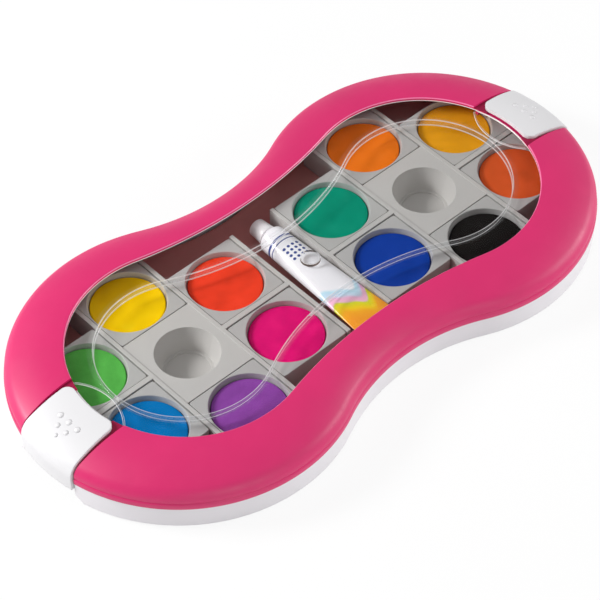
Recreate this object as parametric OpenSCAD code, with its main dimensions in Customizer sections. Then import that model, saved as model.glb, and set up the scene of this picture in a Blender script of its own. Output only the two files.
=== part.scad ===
// Paint set box: a waisted case with a lift-off lid, two swing latches,
// two colour trays with twelve pans, two dipping cups and one paint tube.
// Millimetres, +Z up, origin under the middle of the case.

/* [Case outline] */
// Room between the trays' outer corners and the liner's edge
case_room = 2.6; // [2:0.1:5]
// How far the round ends' centres lie outside the trays' middles
lobe_shift = 2.1; // [1.5:0.1:3]
// Half width of the case at its waist
waist_half = 54.5; // [52:0.1:60]

/* [Case base] */
// Height of the base, up to the seam under the lid
base_h = 11; // [10.5:0.1:16]
// Wall of the base
base_wall = 2.2; // [1.6:0.1:3]
// Floor of the base
base_floor = 2; // [1.4:0.1:2.6]
// Height of the foot under the base
foot_h = 1.2; // [0.8:0.1:1.6]
// How far the foot stands in from the base's wall
foot_inset = 1; // [0.5:0.1:2]
// How far the base stands back from the lid's skirt
base_inset = 0.3; // [0:0.1:0.8]
// Height of the locating tongue above the seam
tongue_h = 2; // [1:0.1:2.5]
// Thickness of the locating tongue
tongue_w = 1.5; // [1:0.1:2]

/* [Lid ring] */
// Straight band of the lid ring above the seam
skirt_h = 3; // [2:0.1:6]
// Rise of the lid ring's dome above its straight band
dome_rise = 11; // [10:0.1:14]
// Radius of the dome's outer shoulder
dome_edge_r = 7; // [5:0.1:8]
// Wall of the lid ring
ring_wall = 2.2; // [1.6:0.1:2.4]
// Radius of the window's round ends
window_r = 47.5; // [46:0.1:50]
// How far the window's round ends lie inside the trays' middles
window_shift = 0.5; // [0:0.1:1]
// Half width of the window at its waist
window_half = 39.3; // [38:0.1:41]
// Thickness of the lip that stays between a latch and the window
ring_lip = 1; // [0.8:0.1:1.5]
// Width of the ledge that a latch holds down
ledge_w = 3.5; // [2.5:0.1:4]

/* [Clear palette] */
// Thickness of the clear palette
palette_t = 1.5; // [1.2:0.1:2]
// Depth of the clear palette's top face below the dome's highest line
palette_drop = 2.8; // [2:0.1:3]
// Width of the palette's edge under the lid ring
palette_edge = 2.5; // [2:0.1:3]
// Width of the raised ridges on the palette
ridge_w = 2.6; // [1.5:0.1:3.5]
// Height of the raised ridges
ridge_h = 0.7; // [0.4:0.1:0.9]
// Radius of the round ends of the waisted ridge
ridge_r = 35.7; // [30:0.1:38]
// Half width of the waisted ridge at its waist
ridge_half = 20.1; // [16:0.1:24]
// Radius of the ridge round each latch
arc_ridge_r = 22.2; // [20:0.1:26]
// Distance of that ridge's centre from the case's end
arc_ridge_back = 11; // [8:0.5:13]

/* [Latches] */
// Half width of a latch at its inner corners
latch_half = 13.9; // [12:0.1:14.2]
// How much wider each side of a latch is at its outer end
latch_flare = 0.9; // [0:0.1:1]
// Wall of a latch
latch_wall = 1.8; // [1.5:0.1:2]
// How far a latch stands proud of the lid ring
latch_proud = 0.5; // [0.2:0.1:0.8]
// Radius of a latch's inner corners
latch_corner_r = 3.5; // [2:0.1:4.5]
// How far a latch reaches below the seam
latch_reach = 3.6; // [3:0.1:4]
// Distance of the outer gussets inside a latch from its sides
gusset_inset = 4.9; // [4:0.1:6]
// Thickness of the gussets inside a latch
gusset_w = 1.6; // [1.2:0.1:2]
// Gap between a latch and the ring or ears beside it
latch_gap = 0.4; // [0.3:0.05:0.6]
// Radius of a hinge pin
pin_r = 1.25; // [0.9:0.05:1.3]
// Distance of a hinge pin inside the case's end
pin_inset = 4.2; // [3.6:0.1:4.6]
// Depth of a hinge pin below the seam
pin_drop = 2.4; // [2:0.1:2.6]
// Radius of the latch's knuckle round its pin
knuckle_r = 2.7; // [2.4:0.1:3]
// Thickness of the ears that hold a pin
ear_w = 3; // [2.5:0.1:4]

/* [Colour trays] */
// Gap beside the tube's tail in the slot between the trays
slot_gap = 0.5; // [0.4:0.1:2]
// Height of the trays' top face
tray_top = 17.7; // [17:0.1:18.2]
// Width of the ribs between two columns of pans
rib_w = 1.7; // [1:0.1:2]
// Width of the rib between the two pans of a side column
mid_rib_w = 2.2; // [1.2:0.1:2.6]
// How far the ribs stand above the pans
rib_rise = 0.4; // [0.2:0.1:0.8]
// Distance of a middle column's pans from the tray's middle
mid_pan_y = 36; // [35.5:0.1:37]
// Floor and cup wall of a tray
tray_wall = 1.4; // [1:0.1:1.8]
// Radius of a cup at its rim
cup_r = 13.1; // [11:0.1:14]
// Radius of a cup at its bottom
cup_low_r = 10.2; // [8:0.1:11]
// Depth of a cup
cup_depth = 10.4; // [8:0.1:10.5]
// Width of the step round a cup's floor
cup_step_w = 1.2; // [0.8:0.1:2]
// Depth of the hollow inside that step
cup_step_h = 0.5; // [0.3:0.1:0.6]

/* [Pans and paints] */
// Side of a square pan
pan_w = 33.2; // [32.8:0.1:33.6]
// Height of a pan
pan_h = 9; // [7.5:0.1:9]
// Floor of a pan
pan_floor = 1.5; // [1:0.1:2]
// Radius of the rim of a pan's round well
well_r = 16.1; // [15.8:0.1:16.2]
// Radius of a paint tablet
tablet_r = 15.1; // [14:0.05:15.2]
// Depth of a fresh tablet's face below the pan's top
tablet_drop = 1.7; // [1.2:0.1:2.5]
// Radius of a tablet's upper edge
tablet_edge_r = 0.5; // [0.2:0.1:1]
// Gap between a pan and the tray
pan_gap = 0.3; // [0.1:0.05:0.35]
// Gap between a tablet and its pan
tablet_gap = 0.3; // [0.05:0.05:0.3]

/* [Liner] */
// Height of the liner's floor
liner_top = 7; // [6.8:0.1:7.6]
// Wall of the liner
liner_wall = 1.6; // [1.2:0.1:1.8]
// Depth of the liner's tray seats
seat_depth = 1.4; // [0.8:0.1:1.5]
// Gap round each tray in its seat
seat_gap = 0.4; // [0.3:0.1:0.8]
// Gap between the liner and the base
liner_gap = 0.5; // [0.3:0.1:0.8]

/* [Paint tube] */
// Radius of the tube at its shoulder
tube_r = 6.1; // [5:0.1:6.4]
// Length of the tube from shoulder to tail
tube_len = 71; // [60:0.5:72]
// Length of the folded tail
tail_fold = 6; // [4:0.5:8]
// Width of the flattened tail
tail_w = 19.4; // [16:0.1:19.5]
// Thickness of the flattened tail
tail_t = 1.2; // [0.8:0.1:1.6]
// Radius of the tube's neck
neck_r = 2.6; // [2:0.1:3]
// Length of the tube's neck
neck_len = 5.5; // [4:0.1:7]
// Radius of the screw cap at its open end
cap_r = 4.4; // [3.8:0.1:5]
// Length of the screw cap
cap_len = 8; // [7:0.1:9]
// Gap in the screw cap round the neck
cap_gap = 0.08; // [0.05:0.01:0.15]
// Upward slope of the tube towards its tail
tube_pitch = 4.4; // [0:0.1:5]
// Turn of the tube from the slot's length
tube_yaw = 2.6; // [0:0.1:3]

/* [Hidden] */
LEFT_PAINTS = ["yellow", "violet", "red", "magenta", "light_green", "sky_blue"];
RIGHT_PAINTS = ["orange", "black", "ochre", "sienna", "turquoise", "ultramarine"];

$fn = 96;
eps = 0.01;
far = 60;

// Tray places
pocket_w = pan_w + 2 * pan_gap;
column_pitch = pocket_w + rib_w;
side_pan_y = (pocket_w + mid_rib_w) / 2;
side_end_y = side_pan_y + pan_w / 2;
mid_end_y = mid_pan_y + pan_w / 2;
mid_half_x = pocket_w / 2 + rib_w;
tray_half_x = column_pitch + pocket_w / 2 + rib_w;
tray_x = tail_w / 2 + slot_gap + tray_half_x;
tray_low = liner_top - seat_depth;
pan_z = tray_top - pan_h;
PAN_PLACES = [
  [0, mid_pan_y], [0, -mid_pan_y],
  [column_pitch, side_pan_y], [column_pitch, -side_pan_y],
  [-column_pitch, side_pan_y], [-column_pitch, -side_pan_y]
];

// Case outline: its round ends clear the trays' outer corners
liner_inset = base_inset + base_wall + tongue_w + liner_gap;
corner_reach = norm([tray_half_x - lobe_shift, side_end_y]);
lobe_x = tray_x + lobe_shift;
lobe_r = corner_reach + case_room + liner_inset;
case_end_x = lobe_x + lobe_r;
window_x = tray_x - window_shift;

// Centre distance and radius of the arcs that draw in the waist
function waist_arc(x, r, half) = (x * x + half * half - r * r) / (2 * (r - half));
waist_r = waist_arc(lobe_x, lobe_r, waist_half);
waist_y = waist_half + waist_r;

// Two-arc dome of the lid ring
skirt_z = base_h + skirt_h;
dome_z = skirt_z + dome_rise;
dome_run = case_end_x - window_x - window_r;
palette_z = dome_z - palette_drop;
arc_ridge_x = case_end_x - arc_ridge_back;
dome_top_r = (pow(dome_run - dome_edge_r, 2) + dome_rise * dome_rise - dome_edge_r * dome_edge_r)
  / (2 * (dome_rise - dome_edge_r));
dome_turn = atan2(dome_top_r - dome_rise, dome_run - dome_edge_r);

// Window outline and the steps of the ring's loft round it
window_arc = waist_arc(window_x, window_r, window_half);
window_arc_y = window_half + window_arc;
window_angle = atan2(window_arc_y, -window_x);
window_turn = atan2(window_x, window_arc_y);
end_steps = 44;
waist_steps = 14;
tongue_root = 3;
palette_gap = 0.15;

// Latch places
ledge_gap = 0.3;
ledge_z = dome_z - latch_wall + latch_proud - 2 * ledge_gap;
ledge_r = window_r + ring_lip + ledge_w;
latch_arc_r = window_r + ring_lip + latch_gap;
latch_corner_y = latch_half - latch_corner_r;
latch_corner_x = window_x + sqrt(pow(latch_arc_r + latch_corner_r, 2) - pow(latch_corner_y, 2));
latch_end_x = case_end_x + latch_proud + knuckle_r;
latch_low_z = base_h - latch_reach;
pin_x = case_end_x - pin_inset;
pin_z = base_h - pin_drop;
notch_half = latch_half + latch_flare + latch_gap;
web_w = 1.6;
web_gap = 0.4;
web_low_z = tray_top + rib_rise + web_gap;
web_back_x = tray_x + tray_half_x + 1;
knuckle_gap = 1.9;
hinge_back_x = pin_x - knuckle_r - knuckle_gap;
seam_cut = 6;
pin_fit = 0.05;
ear_fit = 0.02;
pin_seat = 1.8;
pin_half = notch_half + pin_seat;
scoop_margin = 1.8;
scoop_half = notch_half + ear_w + scoop_margin;
scoop_rise = 9;
scoop_r = (scoop_half * scoop_half + scoop_rise * scoop_rise) / (2 * scoop_rise);

// Tube place: the middle of its shoulder, above the liner's floor
shoulder_x = 3;
shoulder_y = 25.5;
tube_rest = 0.06;
shoulder_z = liner_top + tube_r + tube_rest;
shoulder_len = 1.8;
shoulder_step = 0.3;
shoulder_top_r = neck_r + 0.6;
cap_top_r = cap_r - 0.5;
cap_edge = 0.8;
cap_edge_len = 1;
cap_seat = 0.1;
end_slice = 0.5;

// Skins of a pan round its hollow corners and round its well
pan_skin = 1;
well_skin = 0.7;

PAINT_COLOURS = [
  ["yellow", "#f6dc14"], ["violet", "#7d3fae"], ["red", "#f0442a"], ["magenta", "#e6187a"],
  ["light_green", "#58bf49"], ["sky_blue", "#1b84c8"], ["orange", "#f47a1c"], ["black", "#26262a"],
  ["ochre", "#e9a81c"], ["sienna", "#dd5c22"], ["turquoise", "#0fa582"], ["ultramarine", "#1d46a8"]
];
function paint_colour(name) = [for (p = PAINT_COLOURS) if (p[0] == name) p[1]][0];

// Waisted outline: two round ends joined by two inward arcs
module waisted(r, x, half) {
  arc = waist_arc(x, r, half);
  arc_y = half + arc;
  join_x = x * arc / (r + arc);
  join_y = arc_y * r / (r + arc);
  difference() {
    square([2 * join_x, 2 * join_y], center = true);
    for (s = [-1, 1]) translate([0, s * arc_y]) circle(arc);
  }
  for (s = [-1, 1]) translate([s * x, 0]) circle(r);
}

// Outline of the case, drawn in by a given inset
module case_outline(inset) {
  waisted(lobe_r - inset, lobe_x, waist_half - inset);
}

// Outline of the window, grown by a given amount
module window_outline(grow) {
  waisted(window_r + grow, window_x, window_half + grow);
}

// Half section of the domed lid, its surface moved inwards by inset
module dome_section(inset, z_low) {
  edge_r = dome_edge_r - inset;
  join_x = lobe_r - dome_edge_r + edge_r * cos(dome_turn);
  crest_x = lobe_r - dome_run;
  translate([0, z_low]) square([crest_x + eps, dome_z - inset - z_low]);
  intersection() {
    translate([crest_x, dome_z - dome_top_r]) circle(dome_top_r - inset);
    translate([crest_x, z_low]) square([join_x - crest_x, dome_z + 1 - z_low]);
  }
  intersection() {
    translate([lobe_r - dome_edge_r, skirt_z]) circle(edge_r);
    translate([0, skirt_z]) square([lobe_r + far, far]);
  }
  translate([0, z_low]) square([lobe_r - inset, skirt_z + eps - z_low]);
}

// Domed end of the case, on its +X side
module end_dome(inset, z_low) {
  translate([lobe_x, 0, 0]) rotate([0, 0, -45]) rotate_extrude(angle = 90) dome_section(inset, z_low);
}

// Where a ray from p along n leaves the case: distance to a round end, or to
// the waist arc where the ray passes between the ends
function leave_end(p, n, c) =
  let (d = c - p, along = d * n) along + sqrt(along * along - d * d + lobe_r * lobe_r);
function leave_waist(p, n, c) =
  let (d = c - p, along = d * n) along - sqrt(along * along - d * d + waist_r * waist_r);
function leave_case(p, n) =
  let (end = leave_end(p, n, [sign(p.x) * lobe_x, 0]), q = p + end * n)
  abs(q.x) / lobe_x + abs(q.y) / waist_y >= 1 ? end : leave_waist(p, n, [0, sign(p.y) * waist_y]);

// Stations round the window: place, outward normal and width of the ring there
function window_station(p, n) = [p, n, leave_case(p, n)];
function end_stations(side) = [
  for (k = [0 : end_steps - 1])
    let (a = (side > 0 ? 0 : 180) - window_angle + 2 * window_angle * k / end_steps, n = [cos(a), sin(a)])
    window_station([side * window_x, 0] + window_r * n, n)
];
function waist_stations(side) = [
  for (k = [0 : waist_steps - 1])
    let (a = 90 - window_turn + 2 * window_turn * k / waist_steps, n = side * [-cos(a), sin(a)])
    window_station([0, side * window_arc_y] - window_arc * n, n)
];

// Point of the dome at angle a of its two arcs, as inset and rise
function dome_point(a) = a < dome_turn
  ? [dome_edge_r * (1 - cos(a)), dome_edge_r * sin(a)]
  : [dome_run - dome_top_r * cos(a), dome_rise - dome_top_r * (1 - sin(a))];
function dome_angles(last, edge_steps, top_steps) = concat(
  [for (k = [0 : edge_steps - 1]) dome_turn * k / edge_steps],
  [for (k = [0 : top_steps]) dome_turn + (last - dome_turn) * k / top_steps]
);

// Closed section of the ring where it is w wide: [inset, height] points
function ring_section(w) =
  let (
    seat = w - palette_edge - palette_gap,
    seat_back = seat - ring_lip,
    last = acos((dome_run - dome_run * (seat_back - ring_wall) / (w - ring_wall)) / dome_top_r),
    inner = [for (a = dome_angles(last, 3, 3)) let (d = dome_point(a))
      [ring_wall + (w - ring_wall) * d.x / dome_run, skirt_z + d.y * (dome_rise - ring_wall) / dome_rise]]
  )
  concat(
    [[0, base_h]],
    [for (a = dome_angles(90, 4, 5)) let (d = dome_point(a)) [w * d.x / dome_run, skirt_z + d.y]],
    [[w, palette_z], [seat, palette_z], [seat, palette_z - palette_t], [seat_back, palette_z - palette_t]],
    [for (k = [len(inner) - 1 : -1 : 0]) inner[k]],
    [[ring_wall, base_h]]
  );

// The ring as one loft between the case outline and the window outline
module ring_loft() {
  stations = concat(end_stations(1), waist_stations(1), end_stations(-1), waist_stations(-1));
  n = len(stations);
  m = len(ring_section(dome_run));
  polyhedron(
    points = [for (s = stations) for (q = ring_section(s[2]))
      let (p = s[0] + (s[2] - q.x) * s[1]) [p.x, p.y, q.y]],
    faces = [for (i = [0 : n - 1]) for (j = [0 : m - 1])
      let (a = i * m + j, b = i * m + (j + 1) % m, c = (i + 1) % n * m + (j + 1) % m, d = (i + 1) % n * m + j)
      for (f = [[a, b, c], [a, c, d]]) f]
  );
}

module both_ends() {
  children();
  rotate([0, 0, 180]) children();
}

// Latch seen from above, grown by a given amount, at the +X end
module latch_outline(grow) {
  side = latch_corner_y + latch_corner_r + grow;
  polygon([
    [latch_corner_x, side], [latch_end_x, side + latch_flare],
    [latch_end_x, -side - latch_flare], [latch_corner_x, -side]
  ]);
  for (s = [-1, 1]) translate([latch_corner_x, s * latch_corner_y]) circle(latch_corner_r + grow);
  difference() {
    polygon([[window_x, 0], [latch_corner_x, latch_corner_y], [latch_corner_x, -latch_corner_y]]);
    translate([window_x, 0]) circle(latch_arc_r - grow);
  }
}

module case_base() color("white") difference() {
  union() {
    difference() {
      union() {
        linear_extrude(foot_h + eps) case_outline(base_inset + foot_inset);
        translate([0, 0, foot_h]) linear_extrude(base_h - foot_h) case_outline(base_inset);
      }
      translate([0, 0, base_floor]) linear_extrude(base_h) case_outline(base_inset + base_wall);
    }
    base_tongue();
    both_ends() hinge_housing();
  }
  both_ends() hinge_cuts();
}

module base_tongue() {
  outer = base_inset + base_wall;
  translate([0, 0, base_h - tongue_root]) linear_extrude(tongue_root + tongue_h) difference() {
    case_outline(outer - eps);
    case_outline(outer + tongue_w);
  }
}

module hinge_housing() {
  back = hinge_back_x - base_wall;
  half = notch_half + ear_w;
  intersection() {
    translate([back, -half, 0]) cube([far, 2 * half, base_h]);
    translate([lobe_x, 0, 0]) cylinder(h = base_h, r = lobe_r - base_inset - base_wall / 2);
  }
}

module hinge_cuts() {
  translate([hinge_back_x, -notch_half, -1]) cube([far, 2 * notch_half, base_h + far]);
  translate([hinge_back_x - base_wall - seam_cut, -notch_half - ear_w, base_h]) cube([far, 2 * (notch_half + ear_w), far]);
  translate([pin_x, pin_half, pin_z]) rotate([90, 0, 0]) cylinder(h = 2 * pin_half, r = pin_r + ear_fit);
  translate([hinge_back_x, 0, scoop_rise - scoop_r]) rotate([0, 90, 0]) cylinder(h = far, r = scoop_r);
}

module tray_outline(grow) {
  square([2 * (mid_half_x + grow), 2 * (mid_end_y + grow)], center = true);
  square([2 * (tray_half_x + grow), 2 * (side_end_y + grow)], center = true);
}

module both_trays() {
  for (s = [-1, 1]) translate([s * tray_x, 0]) children();
}

module case_liner() color("#5a2f35") difference() {
  union() {
    translate([0, 0, liner_top - liner_wall]) linear_extrude(liner_wall) case_outline(liner_inset);
    intersection() {
      translate([0, 0, tray_low - liner_wall]) linear_extrude(liner_wall + seat_depth)
        both_trays() tray_outline(seat_gap + liner_wall);
      linear_extrude(base_h) case_outline(liner_inset);
    }
    translate([0, 0, base_floor]) linear_extrude(liner_top - liner_wall - base_floor) difference() {
      case_outline(liner_inset);
      case_outline(liner_inset + liner_wall);
    }
    for (y = [-1, 0, 1]) translate([0, y * side_pan_y, (base_floor + tray_low) / 2])
      cube([2 * tray_x + tray_half_x, liner_wall, tray_low - base_floor], center = true);
  }
  translate([0, 0, tray_low]) linear_extrude(base_h) both_trays() tray_outline(seat_gap);
  both_ends() translate([hinge_back_x - base_wall - liner_gap, -notch_half - ear_w - liner_gap, 0])
    cube([far, 2 * (notch_half + ear_w + liner_gap), far]);
}

module ring_end_webs() {
  intersection() {
    end_dome(ring_wall / 2, base_h + web_gap);
    for (s = [-1, 1]) translate([0, s * (notch_half + web_w / 2), 0]) {
      translate([window_x + window_r, -web_w / 2, web_low_z]) cube([far, web_w, far]);
      translate([web_back_x, -web_w / 2, 0]) cube([far, web_w, far]);
    }
  }
}

module latch_notch() {
  translate([0, 0, ledge_z]) linear_extrude(far) latch_outline(latch_gap);
  translate([0, 0, base_h - 1]) linear_extrude(far) difference() {
    latch_outline(latch_gap);
    translate([window_x, 0]) circle(ledge_r);
  }
}

module lid_ring() color("#ec3278") difference() {
  union() {
    ring_loft();
    both_ends() ring_end_webs();
  }
  both_ends() latch_notch();
}

module clear_palette() color([0.9, 0.95, 1, 0.35]) {
  translate([0, 0, palette_z - palette_t]) linear_extrude(palette_t) window_outline(palette_edge);
  translate([0, 0, palette_z - eps]) linear_extrude(ridge_h + eps) {
    difference() {
      waisted(ridge_r + ridge_w / 2, lobe_x, ridge_half + ridge_w / 2);
      waisted(ridge_r - ridge_w / 2, lobe_x, ridge_half - ridge_w / 2);
    }
    intersection() {
      both_ends() translate([arc_ridge_x, 0]) difference() {
        circle(arc_ridge_r + ridge_w / 2);
        circle(arc_ridge_r - ridge_w / 2);
      }
      window_outline(-ledge_gap);
    }
  }
}

// A latch: a saddle-shaped shell with gussets, hinged low on the base
module latch() difference() {
  union() {
    intersection() {
      linear_extrude(dome_z + far) latch_outline(0);
      difference() {
        end_dome(-latch_proud, latch_low_z);
        end_dome(latch_wall - latch_proud, latch_low_z - 1);
      }
    }
    intersection() {
      end_dome(0, latch_low_z);
      union() {
        latch_gussets();
        latch_knuckle_web();
      }
    }
    translate([pin_x, latch_half, pin_z]) rotate([90, 0, 0]) cylinder(h = 2 * latch_half, r = knuckle_r);
  }
  translate([pin_x, far / 2, pin_z]) rotate([90, 0, 0]) cylinder(h = far, r = pin_r + pin_fit);
}

module latch_gussets() {
  for (s = [-1, 0, 1]) translate([web_back_x, s * (latch_half - gusset_inset) - gusset_w / 2, skirt_z])
    cube([far, gusset_w, far]);
}

module latch_knuckle_web() {
  translate([pin_x, -latch_half, pin_z - knuckle_r]) cube([far, 2 * latch_half, 2 * knuckle_r]);
}

module hinge_pin() {
  translate([pin_x, pin_half, pin_z]) rotate([90, 0, 0]) cylinder(h = 2 * pin_half, r = pin_r);
}

// A colour tray: a ribbed cross with six pan pockets and a cup in the middle
module tray() color("#b4b2b2") difference() {
  union() {
    translate([0, 0, tray_low]) linear_extrude(tray_top - tray_low) tray_outline(0);
    tray_ribs();
  }
  for (p = PAN_PLACES) pan_pocket(p);
  translate([0, 0, tray_top - cup_depth - cup_step_h]) cylinder(h = cup_depth, r = cup_low_r - cup_step_w);
  translate([0, 0, tray_top - cup_depth])
    cylinder(h = cup_depth + eps, r1 = cup_low_r, r2 = cup_r + eps * (cup_r - cup_low_r) / cup_depth);
  cup_cell_hollow();
}

// Ribs beside the middle column, along the tray's ends and between the side pans
module tray_ribs() {
  rise_h = rib_rise + tray_wall;
  for (s = [-1, 1]) {
    translate([s * (mid_half_x - rib_w / 2), 0, tray_top + rib_rise - rise_h / 2])
      cube([rib_w, 2 * mid_end_y, rise_h], center = true);
    translate([s * (tray_half_x - rib_w / 2), 0, tray_top + rib_rise - rise_h / 2])
      cube([rib_w, 2 * side_end_y, rise_h], center = true);
    translate([s * (mid_half_x + tray_half_x) / 2, 0, tray_top + rib_rise - rise_h / 2])
      cube([tray_half_x - mid_half_x, mid_rib_w, rise_h], center = true);
  }
}

module pan_pocket(p) {
  open_y = pan_w;
  s = sign(p[1]);
  translate([p[0] - pocket_w / 2, p[1] - pocket_w / 2 + (s < 0 ? -open_y : 0), pan_z])
    cube([pocket_w, pocket_w + open_y, far]);
  cell = pocket_w - 2 * tray_wall;
  translate([p[0] - cell / 2, p[1] - cell / 2, tray_low - 1])
    cube([cell, cell, pan_z - tray_wall - tray_low + 1]);
}

module cup_cell_hollow() {
  cell_x = pocket_w - 2 * tray_wall;
  cell_y = 2 * (mid_pan_y - pocket_w / 2 - tray_wall);
  slope = (cup_r - cup_low_r) / cup_depth;
  low = tray_low - 1;
  high = tray_top - tray_wall;
  difference() {
    translate([-cell_x / 2, -cell_y / 2, low]) cube([cell_x, cell_y, high - low]);
    translate([0, 0, low - 1])
      cylinder(h = far / 2, r1 = cup_low_r + tray_wall - slope * (tray_top - cup_depth - low + 1),
               r2 = cup_low_r + tray_wall + slope * (far / 2 - (tray_top - cup_depth - low + 1)));
  }
}

// A square pan with a round well; its corners are hollow underneath
module pan() color("#bcbaba") difference() {
  lip = well_r - tablet_r - tablet_gap;
  floor_z = pan_z + pan_floor;
  translate([-pan_w / 2, -pan_w / 2, pan_z]) cube([pan_w, pan_w, pan_h]);
  translate([0, 0, floor_z]) cylinder(h = pan_h, r = tablet_r + tablet_gap);
  translate([0, 0, tray_top - tablet_drop])
    cylinder(h = tablet_drop + eps, r1 = well_r - lip, r2 = well_r + eps * lip / tablet_drop);
  translate([0, 0, pan_z - 1]) linear_extrude(pan_h - pan_floor + 1) difference() {
    square(pan_w - 2 * pan_skin, center = true);
    circle(tablet_r + tablet_gap + well_skin);
  }
}

module tablet() {
  top = tray_top - tablet_drop;
  low = pan_z + pan_floor;
  translate([0, 0, low]) rotate_extrude() {
    square([tablet_r - tablet_edge_r, top - low]);
    square([tablet_r, top - low - tablet_edge_r]);
    translate([tablet_r - tablet_edge_r, top - low - tablet_edge_r]) circle(tablet_edge_r);
  }
}

// Own frame of the tube: +Y from its tail to its cap, origin mid shoulder
module in_slot() {
  translate([shoulder_x, shoulder_y, shoulder_z]) rotate([-tube_pitch, 0, -tube_yaw]) children();
}

module paint_tube() color("#f2eff6") in_slot() {
  fold_y = tail_fold - tube_len;
  hull() {
    rotate([90, 0, 0]) cylinder(h = end_slice, r = tube_r, $fn = 48);
    translate([-tail_w / 2, fold_y, -tail_t / 2]) cube([tail_w, end_slice, tail_t]);
  }
  translate([-tail_w / 2, -tube_len, -tail_t / 2]) cube([tail_w, tail_fold + eps, tail_t]);
  rotate([-90, 0, 0]) translate([0, 0, -eps]) cylinder(h = shoulder_len + eps, r1 = tube_r - shoulder_step, r2 = shoulder_top_r);
  rotate([-90, 0, 0]) cylinder(h = shoulder_len + neck_len, r = neck_r);
}

module tube_cap() color("#f7f6f8") in_slot()
rotate([-90, 0, 0]) translate([0, 0, shoulder_len + cap_seat]) difference() {
  union() {
    cylinder(h = cap_len - cap_edge_len, r1 = cap_r, r2 = cap_top_r);
    translate([0, 0, cap_len - cap_edge_len - eps])
      cylinder(h = cap_edge_len + eps, r1 = cap_top_r, r2 = cap_top_r - cap_edge);
  }
  translate([0, 0, -1]) cylinder(h = neck_len + 1.2, r = neck_r + cap_gap);
}

module left_side() translate([-tray_x, 0, 0]) children();
module right_side() translate([tray_x, 0, 0]) children();

case_base();
case_liner();
lid_ring();
clear_palette();
color("#f8f8f8") rotate([0, 0, 180]) latch();  // left_latch
color("#f8f8f8") latch();  // right_latch
color("silver") rotate([0, 0, 180]) hinge_pin();  // left_hinge_pin
color("silver") hinge_pin();  // right_hinge_pin
left_side() tray();  // left_tray
right_side() tray();  // right_tray
paint_tube();
tube_cap();
for (i = [0 : len(PAN_PLACES) - 1]) {
  place = PAN_PLACES[i];
  left_side() translate(place) pan();
  right_side() translate(place) pan();
  color(paint_colour(LEFT_PAINTS[i])) left_side() translate(place) tablet();
  color(paint_colour(RIGHT_PAINTS[i])) right_side() translate(place) tablet();
}
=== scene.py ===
import math

import bpy
import bmesh
from mathutils import Matrix, Vector


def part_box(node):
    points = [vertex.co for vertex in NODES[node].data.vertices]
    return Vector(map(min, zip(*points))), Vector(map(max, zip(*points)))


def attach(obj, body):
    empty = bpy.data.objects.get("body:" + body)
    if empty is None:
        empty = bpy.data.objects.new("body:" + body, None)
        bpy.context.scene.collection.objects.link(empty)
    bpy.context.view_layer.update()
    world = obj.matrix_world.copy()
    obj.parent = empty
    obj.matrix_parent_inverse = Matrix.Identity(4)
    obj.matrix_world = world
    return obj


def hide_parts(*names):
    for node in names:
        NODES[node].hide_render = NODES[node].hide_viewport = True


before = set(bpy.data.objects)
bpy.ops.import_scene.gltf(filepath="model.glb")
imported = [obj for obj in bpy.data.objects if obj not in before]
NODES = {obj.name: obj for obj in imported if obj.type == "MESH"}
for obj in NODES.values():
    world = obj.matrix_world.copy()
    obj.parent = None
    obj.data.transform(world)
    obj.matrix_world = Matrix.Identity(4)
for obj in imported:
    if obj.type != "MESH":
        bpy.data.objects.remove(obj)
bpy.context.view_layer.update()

MM = 0.001

# ---------------------------------------------------------------- sizes
# In millimetres. These have the same values as in the part's source, or follow from them there.
LOBE_R, LOBE_X, WAIST_HALF = 69.5593, 66.4, 54.5
BASE_H, SKIRT_H = 11.0, 3.0
DOME_RISE, DOME_EDGE_R = 11.0, 7.0
RING_WALL, RING_LIP, LEDGE_W, LEDGE_Z = 2.2, 1.0, 3.5, 23.1
WINDOW_R, WINDOW_X, WINDOW_HALF = 47.5, 63.8, 39.3
PALETTE_T, PALETTE_Z, PALETTE_EDGE, PALETTE_GAP = 1.5, 22.2, 2.5, 0.15
ARC_RIDGE_R = 22.2
LATCH_HALF, LATCH_FLARE, LATCH_CORNER_R, LATCH_GAP, LATCH_PROUD = 13.9, 0.9, 3.5, 0.4, 0.5
TRAY_X, TRAY_HALF_X, TRAY_TOP = 64.3, 54.1, 17.7
PAN_H, PAN_FLOOR, TABLET_R, TABLET_DROP = 9.0, 1.5, 15.1, 1.7
TUBE_R, TUBE_LEN, TAIL_FOLD, TAIL_W, TAIL_T = 6.1, 71.0, 6.0, 19.4, 1.2
NECK_R, NECK_LEN, CAP_R, CAP_LEN, CAP_GAP = 2.6, 5.5, 4.4, 8.0, 0.08
TUBE_PITCH, TUBE_YAW = 4.4, 2.6

# These are the scene's own: fine shapes that the source leaves out or makes plainer.
CREASE, LIP_ROUND, LIP_H, UNDERCUT = 0.4, 0.8, 1.45, 1.25
NOTCH_GAP, CUT_REACH, CUT_TOP_Z, CUT_LOW_Z = 0.25, 142.0, 60.0, BASE_H - 2
NOSE_BACK, NOSE_FRONT = 12.0, 4.0
REBATE_TOP_Y, REBATE_LOW_Y, REBATE_DEPTH = 15.9, 15.3, 1.0
RING_BEVEL = 0.35
WEB_W, WEB_LOW_Z, WEB_RISE, WEB_BACK = 1.6, 18.5, 0.4, 1.0
TABLET_EDGE, TABLET_TOP, TABLET_SINK, TABLET_DISH = 0.55, -0.04, 0.26, 0.05
PAN_W, PAN_CORNER, WELL_R, WELL_FILLET, SEAT_R = 32.95, 0.8, 15.95, 0.3, 15.45
BUMP_H, BUMP_SINK = 0.42, 0.06
STEP_R, STEP_X, STEP_HALF, STEP_FLOOR_Z = 35.1, 65.7, 19.0, 19.85
STEP_RIM, STEP_RIM_W, STEP_T, STEP_EDGE = 0.7, 1.8, 0.5, 0.2
STEP_FLAT, STEP_LINE, STEP_LINE_H = 1.4, 0.35, 0.42
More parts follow.
